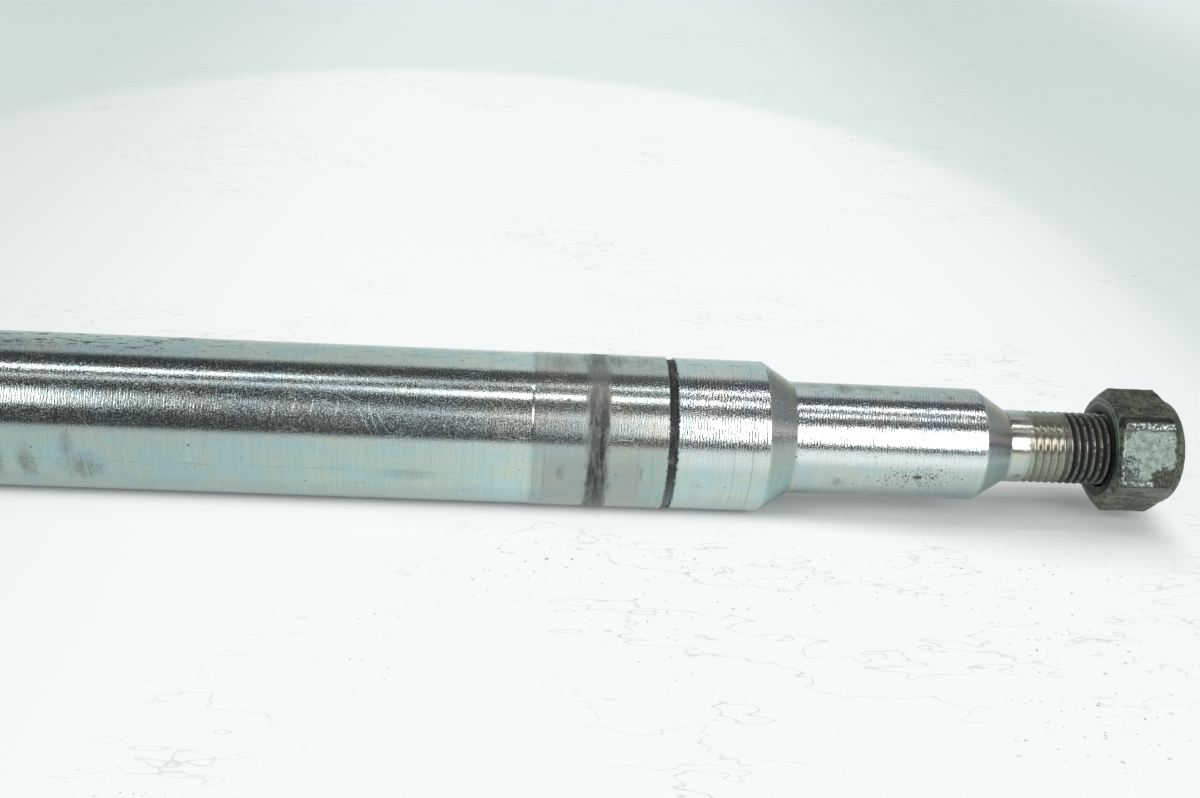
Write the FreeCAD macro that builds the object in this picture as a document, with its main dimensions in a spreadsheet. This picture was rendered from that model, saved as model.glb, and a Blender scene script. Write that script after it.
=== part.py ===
# Wheel axle: a turned steel axle with its self-locking nut, lying along X.
# The origin is on the axis, in the middle of the bearing seat; the nut end points to +X and +Z is up.
import FreeCAD, Part

import math
import os

import Sketcher

SIZES = {
    # Turned bar, from the plain end to the threaded end: diameters and lengths in mm.
    "main_shank_dia": 24.8,
    "main_shank_length": 140.0,
    "seat_dia": 25.0,
    "seat_length": 21.7,
    "seat_lead_in": 0.4,
    "groove_width": 1.4,
    "groove_depth": 0.35,
    "land_dia": 24.8,
    "land_length": 14.6,
    "cone_angle": 32.5,
    "step_shank_dia": 18.5,
    "step_shank_length": 31.0,
    "neck_length": 3.0,
    "thread_dia": 12.0,
    "bare_thread": 13.6,
    "thread_past_nut": 1.0,
    # Edges and lathe centres of the bar.
    "plain_end_chamfer": 1.0,
    "thread_end_chamfer": 0.9,
    "cone_edge_radius": 0.5,
    "cone_root_radius": 0.8,
    "centre_cone_angle": 30.0,
    "plain_centre_mouth_dia": 7.0,
    "plain_centre_pilot_dia": 3.2,
    "plain_centre_pilot_length": 4.0,
    "thread_centre_mouth_dia": 4.4,
    "thread_centre_pilot_dia": 2.0,
    "thread_centre_pilot_length": 2.6,
    # Lock nut, from its bearing face to the rolled rim of its collar.
    "nut_across_flats": 18.0,
    "nut_hex_height": 10.0,
    "nut_collar_height": 1.8,
    "nut_chamfer_angle": 30.0,
    "nut_turn": 40.0,
    "face_inset": 0.6,
    "collar_inset": 0.3,
    "collar_wall": 1.1,
    "collar_rim_radius": 1.6,
    "collar_rim_share": 0.9,
    "lip_thickness": 0.8,
    "lip_gap": 0.65,
    "countersink_width": 0.45,
    "thread_clearance": 0.05,
    # Nylon ring held inside the collar by its rolled lip.
    "ring_height": 2.0,
    "ring_clearance": 0.05,
    "ring_lead_in": 0.15,
    # How far a cutting outline reaches past the metal that it removes.
    "cut_margin": 1.0,
}

doc = FreeCAD.newDocument("wheel_axle")
sheet = doc.addObject("Spreadsheet::Sheet", "sizes")
for row, (alias, value) in enumerate(SIZES.items(), start=1):
    sheet.set(f"A{row}", alias)
    sheet.set(f"B{row}", str(value))
    sheet.setAlias(f"B{row}", alias)
doc.recompute()

# Distances along the bar and the nut, and the nut's radii, as expressions over the sheet.
FIRST_CONE_RUN = "(sizes.land_dia - sizes.step_shank_dia) / 2 / tan(sizes.cone_angle * 1 deg)"
SECOND_CONE_RUN = "(sizes.step_shank_dia - sizes.thread_dia) / 2 / tan(sizes.cone_angle * 1 deg)"
GROOVE_START = "sizes.main_shank_length + sizes.seat_length"
LAND_END = f"{GROOVE_START} + sizes.groove_width + sizes.land_length"
FIRST_CONE_END = f"{LAND_END} + {FIRST_CONE_RUN}"
SECOND_CONE_START = f"{FIRST_CONE_END} + sizes.step_shank_length"
SECOND_CONE_END = f"{SECOND_CONE_START} + {SECOND_CONE_RUN}"
THREAD_START = f"{SECOND_CONE_END} + sizes.neck_length"
NUT_HEIGHT = "sizes.nut_hex_height + sizes.nut_collar_height"
BAR_END = f"{THREAD_START} + sizes.bare_thread + {NUT_HEIGHT} + sizes.thread_past_nut"
BAR_LEFT = "-sizes.main_shank_length - sizes.seat_length / 2"
NUT_FACE = f"{BAR_LEFT} + {THREAD_START} + sizes.bare_thread"
LIP_START = f"{NUT_HEIGHT} - sizes.lip_thickness"
RING_START = f"{LIP_START} - sizes.ring_height"
OUTSIDE_CORNERS = "sizes.nut_across_flats / 2 / cos(30 deg) + sizes.cut_margin"
FACE_RADIUS = "sizes.nut_across_flats / 2 - sizes.face_inset"
COLLAR_RADIUS = "sizes.nut_across_flats / 2 - sizes.collar_inset"
RING_SEAT_RADIUS = f"{COLLAR_RADIUS} - sizes.collar_wall"
BORE_RADIUS = "sizes.thread_dia / 2 + sizes.thread_clearance"
LIP_RADIUS = f"{BORE_RADIUS} + sizes.lip_gap"

# The rim may take up to this much of the collar's height and of the lip's width.
LARGEST_RIM = f"sizes.collar_rim_share * min(sizes.nut_collar_height; {COLLAR_RADIUS} - ({LIP_RADIUS}))"
RIM_RADIUS = f"min(sizes.collar_rim_radius; {LARGEST_RIM})"


def worked_out(expression):
    """The number that an expression over the sheet gives now."""
    result = sheet.evalExpression(expression)
    return float(getattr(result, "Value", result))


def new_body(name):
    """A named body that lies along X."""
    body = doc.addObject("PartDesign::Body", name)
    body.Label = name
    return body


def origin_plane(body, role):
    return next(feature for feature in body.Origin.OriginFeatures if feature.Role == role)


def new_sketch(body, name, role):
    """A sketch on one of the body's own origin planes."""
    sketch = body.newObject("Sketcher::SketchObject", name)
    sketch.AttachmentSupport = [(origin_plane(body, role), "")]
    sketch.MapMode = "FlatFace"
    return sketch


def closed_outline(body, name, corners):
    """A closed outline on the XZ plane from corners given as (distance along X, radius) expressions."""
    sketch = new_sketch(body, name, "XZ_Plane")
    points = [FreeCAD.Vector(worked_out(along), worked_out(radius), 0) for along, radius in corners]
    count = len(points)
    for index, point in enumerate(points):
        sketch.addGeometry(Part.LineSegment(point, points[(index + 1) % count]), False)
    for index, (along, radius) in enumerate(corners):
        sketch.addConstraint(Sketcher.Constraint("Coincident", (index - 1) % count, 2, index, 1))
        places = (("x", "DistanceX", -2, along), ("r", "DistanceY", -1, radius))
        for axis, kind, other_axis, expression in places:
            value = worked_out(expression)
            if abs(value) < 1e-9:
                sketch.addConstraint(Sketcher.Constraint("PointOnObject", index, 1, other_axis))
                continue
            made = sketch.addConstraint(Sketcher.Constraint(kind, -1, 1, index, 1, value))
            sketch.renameConstraint(made, f"{axis}{index}")
            sketch.setExpression(f"Constraints.{axis}{index}", expression)
    return sketch


def turn(body, kind, name, sketch):
    """A full turn of an outline about X, which adds (Revolution) or cuts (Groove)."""
    feature = body.newObject(f"PartDesign::{kind}", name)
    feature.Profile = sketch
    feature.ReferenceAxis = (sketch, ["H_Axis"])
    feature.Angle = 360.0
    sketch.Visibility = False
    doc.recompute()
    return feature


def ring_edges(feature, places):
    """Names of the round edges at the given (distance along X, radius) places."""
    names = []
    for along, radius in places:
        for index, edge in enumerate(feature.Shape.Edges, start=1):
            curve = edge.Curve
            round_edge = hasattr(curve, "Radius") and hasattr(curve, "Center")
            if round_edge and abs(curve.Center.x - along) < 1e-4 and abs(curve.Radius - radius) < 1e-4:
                names.append(f"Edge{index}")
    return names


def dress(body, kind, name, base, places, size):
    """A Chamfer or Fillet on the round edges at the given places; size is an expression."""
    feature = body.newObject(f"PartDesign::{kind}", name)
    where = [(worked_out(along), worked_out(radius)) for along, radius in places]
    feature.Base = (base, ring_edges(base, where))
    feature.setExpression("Radius" if kind == "Fillet" else "Size", size)
    doc.recompute()
    return feature


def lathe_centre(body, end, face, inward):
    """The centre that a lathe's point runs in: a cone in the end face with a pilot hole behind it."""
    mouth = f"sizes.{end}_centre_mouth_dia / 2"
    pilot = f"sizes.{end}_centre_pilot_dia / 2"
    cone_depth = f"({mouth} - {pilot}) / tan(sizes.centre_cone_angle * 1 deg)"
    cone_end = f"{face} {inward} {cone_depth}"
    pilot_end = f"{face} {inward} ({cone_depth} + sizes.{end}_centre_pilot_length)"
    outline = closed_outline(body, f"{end}_centre_outline", [
        (face, "0"),
        (face, mouth),
        (cone_end, pilot),
        (pilot_end, pilot),
        (pilot_end, "0"),
    ])
    return turn(body, "Groove", f"{end}_centre", outline)


def make_axle():
    """The bar, turned from one length of steel between centres."""
    body = new_body("axle")
    main_radius = "sizes.main_shank_dia / 2"
    seat_radius = "sizes.seat_dia / 2"
    land_radius = "sizes.land_dia / 2"
    step_radius = "sizes.step_shank_dia / 2"
    thread_radius = "sizes.thread_dia / 2"
    outline = closed_outline(body, "bar_outline", [
        ("0", "0"),
        ("0", main_radius),
        ("sizes.main_shank_length", main_radius),
        ("sizes.main_shank_length + sizes.seat_lead_in", seat_radius),
        (GROOVE_START, seat_radius),
        (GROOVE_START, land_radius),
        (LAND_END, land_radius),
        (FIRST_CONE_END, step_radius),
        (SECOND_CONE_START, step_radius),
        (SECOND_CONE_END, thread_radius),
        (BAR_END, thread_radius),
        (BAR_END, "0"),
    ])
    bar = turn(body, "Revolution", "turned_bar", outline)

    # The narrow groove that ends the bearing seat.
    groove_floor = "sizes.land_dia / 2 - sizes.groove_depth"
    groove_top = "max(sizes.seat_dia; sizes.land_dia) / 2 + sizes.cut_margin"
    groove_end = f"{GROOVE_START} + sizes.groove_width"
    slot = closed_outline(body, "groove_outline", [
        (GROOVE_START, groove_floor),
        (groove_end, groove_floor),
        (groove_end, groove_top),
        (GROOVE_START, groove_top),
    ])
    bar = turn(body, "Groove", "seat_groove", slot)

    # Lathe centres in both ends.
    bar = lathe_centre(body, "plain", "0", "+")
    bar = lathe_centre(body, "thread", BAR_END, "-")

    # Rounded feet and broken edges of both cones, then the chamfers of both ends.
    feet = [(FIRST_CONE_END, step_radius), (SECOND_CONE_END, thread_radius)]
    bar = dress(body, "Fillet", "cone_roots", bar, feet, "sizes.cone_root_radius")
    rims = [(LAND_END, land_radius), (SECOND_CONE_START, step_radius)]
    bar = dress(body, "Fillet", "cone_edges", bar, rims, "sizes.cone_edge_radius")
    bar = dress(body, "Chamfer", "plain_end", bar, [("0", main_radius)], "sizes.plain_end_chamfer")
    dress(body, "Chamfer", "thread_end", bar, [(BAR_END, thread_radius)], "sizes.thread_end_chamfer")
    body.setExpression("Placement.Base.x", BAR_LEFT)
    return body


def make_nut():
    """The lock nut: a hexagon chamfered at both ends, with a round collar rolled over at the outer end."""
    body = new_body("axle_nut")
    across = worked_out("sizes.nut_across_flats")
    hexagon = new_sketch(body, "hexagon_outline", "YZ_Plane")
    corner_radius = across / 2 / math.cos(math.radians(30))
    corners = []
    for step in range(6):
        angle = math.radians(30 + 60 * step)
        corners.append(FreeCAD.Vector(corner_radius * math.cos(angle), corner_radius * math.sin(angle), 0))
    for step in range(6):
        hexagon.addGeometry(Part.LineSegment(corners[step], corners[(step + 1) % 6]), False)
    inner = hexagon.addGeometry(Part.Circle(FreeCAD.Vector(), FreeCAD.Vector(0, 0, 1), across / 2), True)
    hexagon.addConstraint(Sketcher.Constraint("Coincident", inner, 3, -1, 1))
    for step in range(6):
        hexagon.addConstraint(Sketcher.Constraint("Coincident", step, 2, (step + 1) % 6, 1))
        hexagon.addConstraint(Sketcher.Constraint("Tangent", step, inner))
    for step in range(1, 5):
        hexagon.addConstraint(Sketcher.Constraint("Equal", 0, step))
    hexagon.addConstraint(Sketcher.Constraint("Vertical", 5))
    width = hexagon.addConstraint(Sketcher.Constraint("Diameter", inner, across))
    hexagon.renameConstraint(width, "across_flats")
    hexagon.setExpression("Constraints.across_flats", "sizes.nut_across_flats")
    block = body.newObject("PartDesign::Pad", "hexagon_block")
    block.Profile = hexagon
    block.setExpression("Length", NUT_HEIGHT)
    hexagon.Visibility = False
    doc.recompute()

    # Turned chamfer round the bearing face.
    slope = "tan(sizes.nut_chamfer_angle * 1 deg)"
    chamfer = closed_outline(body, "face_chamfer_outline", [
        ("0", FACE_RADIUS),
        (f"({OUTSIDE_CORNERS} - ({FACE_RADIUS})) * {slope}", OUTSIDE_CORNERS),
        ("0", OUTSIDE_CORNERS),
    ])
    turn(body, "Groove", "face_chamfer", chamfer)

    # The collar: the hexagon is cut away outside it, down a cone like that of the bearing face.
    collar = closed_outline(body, "collar_outline", [
        ("sizes.nut_hex_height", COLLAR_RADIUS),
        (f"{NUT_HEIGHT} + sizes.cut_margin", COLLAR_RADIUS),
        (f"{NUT_HEIGHT} + sizes.cut_margin", OUTSIDE_CORNERS),
        (f"sizes.nut_hex_height - ({OUTSIDE_CORNERS} - ({COLLAR_RADIUS})) * {slope}", OUTSIDE_CORNERS),
    ])
    turn(body, "Groove", "collar", collar)

    # One stepped bore: the thread, the seat of the nylon ring and the opening in the rolled lip.
    bore = closed_outline(body, "bore_outline", [
        ("0", "0"),
        ("0", BORE_RADIUS),
        (RING_START, BORE_RADIUS),
        (RING_START, RING_SEAT_RADIUS),
        (LIP_START, RING_SEAT_RADIUS),
        (LIP_START, LIP_RADIUS),
        (NUT_HEIGHT, LIP_RADIUS),
        (NUT_HEIGHT, "0"),
    ])
    nut = turn(body, "Groove", "stepped_bore", bore)

    nut = dress(body, "Chamfer", "countersink", nut, [("0", BORE_RADIUS)], "sizes.countersink_width")
    dress(body, "Fillet", "collar_rim", nut, [(NUT_HEIGHT, COLLAR_RADIUS)], RIM_RADIUS)
    body.Placement = FreeCAD.Placement(FreeCAD.Vector(), FreeCAD.Rotation(FreeCAD.Vector(1, 0, 0), 1))
    body.setExpression("Placement.Rotation.Angle", "sizes.nut_turn")
    body.setExpression("Placement.Base.x", NUT_FACE)
    return body


def make_lock_ring():
    """The nylon ring that grips the thread, seated in the nut's collar."""
    body = new_body("lock_ring")
    start = f"{RING_START} + sizes.ring_clearance"
    end = f"{LIP_START} - sizes.ring_clearance"
    outer = f"{RING_SEAT_RADIUS} - sizes.ring_clearance"
    outline = closed_outline(body, "ring_outline", [
        (start, BORE_RADIUS),
        (start, outer),
        (end, outer),
        (end, BORE_RADIUS),
    ])
    ring = turn(body, "Revolution", "moulded_ring", outline)
    dress(body, "Chamfer", "lead_in", ring, [(start, BORE_RADIUS), (end, BORE_RADIUS)], "sizes.ring_lead_in")
    body.setExpression("Placement.Base.x", NUT_FACE)
    return body


pieces = [make_axle(), make_nut(), make_lock_ring()]
doc.recompute()

for item in doc.Objects:
    if {"Invalid", "Error"} & set(item.State):
        raise RuntimeError(f"{item.Label} did not recompute: {item.State}")

os.makedirs("parts", exist_ok=True)
for piece in pieces:
    if piece.Shape.isNull() or not piece.Shape.isValid():
        raise RuntimeError(f"{piece.Label} has no valid solid")
    piece.Shape.exportStep(f"parts/{piece.Label}.step")
    print(piece.Label, round(piece.Shape.Volume, 1), piece.Shape.BoundBox)
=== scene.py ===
import math

import bpy
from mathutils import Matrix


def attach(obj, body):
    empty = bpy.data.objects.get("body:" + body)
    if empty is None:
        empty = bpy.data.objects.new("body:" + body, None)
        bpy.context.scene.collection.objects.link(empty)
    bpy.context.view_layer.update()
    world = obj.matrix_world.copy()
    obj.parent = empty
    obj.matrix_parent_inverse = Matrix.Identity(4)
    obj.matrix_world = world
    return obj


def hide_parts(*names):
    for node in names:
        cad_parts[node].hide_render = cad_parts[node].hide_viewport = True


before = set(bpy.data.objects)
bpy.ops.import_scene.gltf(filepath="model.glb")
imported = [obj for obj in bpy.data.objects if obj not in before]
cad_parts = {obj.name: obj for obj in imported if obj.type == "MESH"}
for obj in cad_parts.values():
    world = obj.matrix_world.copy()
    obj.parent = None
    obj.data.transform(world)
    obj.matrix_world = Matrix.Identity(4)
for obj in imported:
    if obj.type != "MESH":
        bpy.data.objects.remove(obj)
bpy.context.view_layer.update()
MM = 0.001


# The axle
# One bar of steel turned between centres: shank, bearing seat, groove, land, two cones, step shank and neck.
# It is bright zinc plated all over. The last 26 mm carry a rolled M12 x 1.25 right-hand thread.

# Lengths and radii of the bar and the nut's height, in mm.
MAIN_LENGTH, SEAT_LENGTH, GROOVE_WIDTH, LAND_LENGTH = 140.0, 21.7, 1.4, 14.6
STEP_LENGTH, NECK_LENGTH, BARE_THREAD, PAST_NUT = 31.0, 3.0, 13.6, 1.0
SEAT_RADIUS, MAIN_RADIUS, STEP_RADIUS, THREAD_RADIUS = 12.5, 12.4, 9.25, 6.0
HEX_HEIGHT, COLLAR_HEIGHT = 10.0, 1.8
CONE_SLOPE = math.tan(math.radians(32.5))

# Places along the bar, counted from the middle of the bearing seat.
SEAT_START, SEAT_END = -SEAT_LENGTH / 2, SEAT_LENGTH / 2
PLAIN_END = SEAT_START - MAIN_LENGTH
GROOVE_END = SEAT_END + GROOVE_WIDTH
LAND_END = GROOVE_END + LAND_LENGTH
STEP_START = LAND_END + (MAIN_RADIUS - STEP_RADIUS) / CONE_SLOPE
STEP_END = STEP_START + STEP_LENGTH
NECK_START = STEP_END + (STEP_RADIUS - THREAD_RADIUS) / CONE_SLOPE
THREAD_START = NECK_START + NECK_LENGTH
NUT_FACE = THREAD_START + BARE_THREAD
NUT_END = NUT_FACE + HEX_HEIGHT + COLLAR_HEIGHT
BAR_END = NUT_END + PAST_NUT


# Points nearer than WELD, in metres, are made one, and within SAME_PLACE, in mm, a point is at a place.
WELD, SAME_PLACE = 1e-7, 0.002


def draw_outline(name, corners):
    """An outline on the XZ plane, drawn corner by corner from (distance along X, radius) in mm."""
    bpy.ops.object.select_all(action="DESELECT")
    bpy.ops.mesh.primitive_plane_add(size=MM)
    outline = bpy.context.active_object
    outline.name = name
    outline.data.name = name
    bpy.ops.object.mode_set(mode="EDIT")
    bpy.ops.mesh.select_all(action="SELECT")
    bpy.ops.mesh.merge(type="CENTER")
    here_x, here_r = corners[0]
    bpy.ops.transform.translate(value=(here_x * MM, 0, here_r * MM))
    for next_x, next_r in corners[1:]:
        step = ((next_x - here_x) * MM, 0, (next_r - here_r) * MM)
        bpy.ops.mesh.extrude_region_move(TRANSFORM_OT_translate={"value": step})
        here_x, here_r = next_x, next_r
    return outline


def round_corners(outline, corners, run, segments):
    """Rounds the corners at the given (distance, radius) places; run is how far they reach, in mm."""
    bpy.ops.mesh.select_all(action="DESELECT")
    bpy.ops.object.mode_set(mode="OBJECT")
    for point in outline.data.vertices:
        for corner_x, corner_r in corners:
            if math.hypot(point.co.x / MM - corner_x, point.co.z / MM - corner_r) < SAME_PLACE:
                point.select = True
    bpy.ops.object.mode_set(mode="EDIT")
    bpy.ops.mesh.bevel(offset=run * MM, segments=segments, affect="VERTICES")


def spin_outline(facets):
    """Turns the outline that is being edited once round X and closes it."""
    bpy.ops.mesh.select_all(action="SELECT")
    bpy.ops.mesh.spin(steps=facets, angle=math.tau, center=(0, 0, 0), axis=(1, 0, 0))
    bpy.ops.mesh.select_all(action="SELECT")
    bpy.ops.mesh.remove_doubles(threshold=WELD)
    bpy.ops.mesh.normals_make_consistent(inside=False)
    bpy.ops.object.mode_set(mode="OBJECT")


def settle_shading(piece, sharp_degrees):
    """Smooth shading that keeps sharp edges, with the large faces left truly round or flat."""
    bpy.ops.object.select_all(action="DESELECT")
    bpy.context.view_layer.objects.active = piece
    piece.select_set(True)
    bpy.ops.object.shade_smooth_by_angle(angle=math.radians(sharp_degrees))
    weighted = piece.modifiers.new("large_faces_lead", "WEIGHTED_NORMAL")
    weighted.keep_sharp = True
    weighted.weight = 90
    bpy.ops.object.modifier_apply(modifier=weighted.name)


# Lathe centres: mouth radius, pilot radius, how deep the cone and the pilot hole go.
CENTRE_SLOPE = math.tan(math.radians(30))
PLAIN_MOUTH, PLAIN_PILOT, PLAIN_PILOT_LENGTH = 3.5, 1.6, 4.0
END_MOUTH, END_PILOT, END_PILOT_LENGTH = 2.2, 1.0, 2.6
plain_cone = PLAIN_END + (PLAIN_MOUTH - PLAIN_PILOT) / CENTRE_SLOPE
end_cone = BAR_END - (END_MOUTH - END_PILOT) / CENTRE_SLOPE

# Chamfers, the floor of the groove, and the core that carries the thread's ridge past a lip of the neck.
PLAIN_CHAMFER, END_CHAMFER, LEAD_IN = 1.0, 0.9, 0.4
GROOVE_RADIUS, CORE_RADIUS = 12.05, 5.1
LIP_LENGTH, LIP_SLOPE = 0.1, 0.2
bar_corners = [
    (plain_cone + PLAIN_PILOT_LENGTH, 0.0),
    (plain_cone + PLAIN_PILOT_LENGTH, PLAIN_PILOT),
    (plain_cone, PLAIN_PILOT),
    (PLAIN_END, PLAIN_MOUTH),
    (PLAIN_END, MAIN_RADIUS - PLAIN_CHAMFER),
    (PLAIN_END + PLAIN_CHAMFER, MAIN_RADIUS),
    (SEAT_START, MAIN_RADIUS),
    (SEAT_START + LEAD_IN, SEAT_RADIUS),
    (SEAT_END, SEAT_RADIUS),
    (SEAT_END, GROOVE_RADIUS),
    (GROOVE_END, GROOVE_RADIUS),
    (GROOVE_END, MAIN_RADIUS),
    (LAND_END, MAIN_RADIUS),
    (STEP_START, STEP_RADIUS),
    (STEP_END, STEP_RADIUS),
    (NECK_START, THREAD_RADIUS),
    (THREAD_START + LIP_LENGTH, THREAD_RADIUS),
    (THREAD_START + LIP_LENGTH + LIP_SLOPE, CORE_RADIUS),
    (BAR_END, CORE_RADIUS),
    (BAR_END, END_MOUTH),
    (end_cone, END_PILOT),
    (end_cone - END_PILOT_LENGTH, END_PILOT),
    (end_cone - END_PILOT_LENGTH, 0.0),
]
CONE_TOP_ROUND, CONE_FOOT_ROUND, CHAMFER_ROUND, EDGE_ROUND = 0.15, 0.24, 0.08, 0.06
BAR_FACETS = 192
bar = draw_outline("axle_bar", bar_corners)
round_corners(bar, [(LAND_END, MAIN_RADIUS), (STEP_END, STEP_RADIUS)], CONE_TOP_ROUND, segments=4)
round_corners(bar, [(STEP_START, STEP_RADIUS), (NECK_START, THREAD_RADIUS)], CONE_FOOT_ROUND, segments=5)
round_corners(bar, [
    (PLAIN_END, MAIN_RADIUS - PLAIN_CHAMFER), (PLAIN_END + PLAIN_CHAMFER, MAIN_RADIUS),
    (SEAT_START, MAIN_RADIUS), (SEAT_START + LEAD_IN, SEAT_RADIUS),
], CHAMFER_ROUND, segments=3)
round_corners(bar, [
    (PLAIN_END, PLAIN_MOUTH), (SEAT_END, SEAT_RADIUS), (GROOVE_END, MAIN_RADIUS), (BAR_END, END_MOUTH),
], EDGE_ROUND, segments=3)
spin_outline(BAR_FACETS)

# The thread is one ridge profile carried round the bar by the screw, then cut square at both ends, where it
# sinks a hair into the bar's end face.
PITCH, CREST, ROOT = 1.25, 5.985, 5.24
FOOT_START, FOOT_RISE, CREST_START, CREST_RUN, CREST_ROUND = 0.13, 0.03, 0.52, 0.05, 0.065
TURNS, TURN_STEPS, END_SINK = 25, 96, 0.004
rising_side = [
    (0.0, ROOT),
    (FOOT_START, ROOT + FOOT_RISE),
    (CREST_START, CREST - CREST_ROUND),
    (CREST_START + CREST_RUN, CREST),
]
ridge = rising_side + [(PITCH - along, radius) for along, radius in reversed(rising_side)]
first_turn = THREAD_START - 2 * PITCH
thread = draw_outline("thread", [(first_turn + along, radius) for along, radius in ridge])
bpy.ops.object.mode_set(mode="OBJECT")
coil = thread.modifiers.new("right_hand_turns", "SCREW")
coil.axis = "X"
coil.angle = math.tau
coil.screw_offset = PITCH * MM
coil.iterations = TURNS
coil.steps = TURN_STEPS
coil.render_steps = TURN_STEPS
coil.use_merge_vertices = True
coil.merge_threshold = WELD
bpy.ops.object.modifier_apply(modifier=coil.name)
bpy.ops.object.mode_set(mode="EDIT")
bpy.ops.mesh.select_all(action="SELECT")
bpy.ops.mesh.remove_doubles(threshold=WELD)
for cut_x, side in ((THREAD_START - LIP_LENGTH, -1), (BAR_END - END_SINK, 1)):
    bpy.ops.mesh.select_all(action="SELECT")
    bpy.ops.mesh.bisect(plane_co=(cut_x * MM, 0, 0), plane_no=(side, 0, 0), use_fill=True,
                        clear_outer=True, threshold=WELD)
bpy.ops.mesh.select_all(action="SELECT")
bpy.ops.mesh.normals_make_consistent(inside=False)
bpy.ops.object.mode_set(mode="OBJECT")

# The roots are shallow where the thread runs out, and filled with hardened grease up to the nut's own travel.
RUN_OUT_SLOPE, GREASED_LENGTH, GREASE_LEVEL, GREASE_SLOPE = 0.8 / 1.5, 6.4, 5.66, 0.5
ON_THE_AXIS = 0.1
for point in thread.data.vertices:
    x = point.co.x / MM
    radius = math.hypot(point.co.y, point.co.z) / MM
    if radius < ON_THE_AXIS:
        continue
    past_start = x - THREAD_START
    run_out = CREST - max(0.0, past_start - LIP_LENGTH) * RUN_OUT_SLOPE
    grease = GREASE_LEVEL - max(0.0, past_start - GREASED_LENGTH) * GREASE_SLOPE
    chamfer = CREST - max(0.0, x - BAR_END + END_CHAMFER)
    wanted = min(max(radius, run_out, grease), chamfer)
    point.co.y *= wanted / radius
    point.co.z *= wanted / radius
bpy.ops.object.select_all(action="DESELECT")
thread.select_set(True)
bar.select_set(True)
bpy.context.view_layer.objects.active = bar
bpy.ops.object.join()
settle_shading(bar, sharp_degrees=24)


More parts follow.
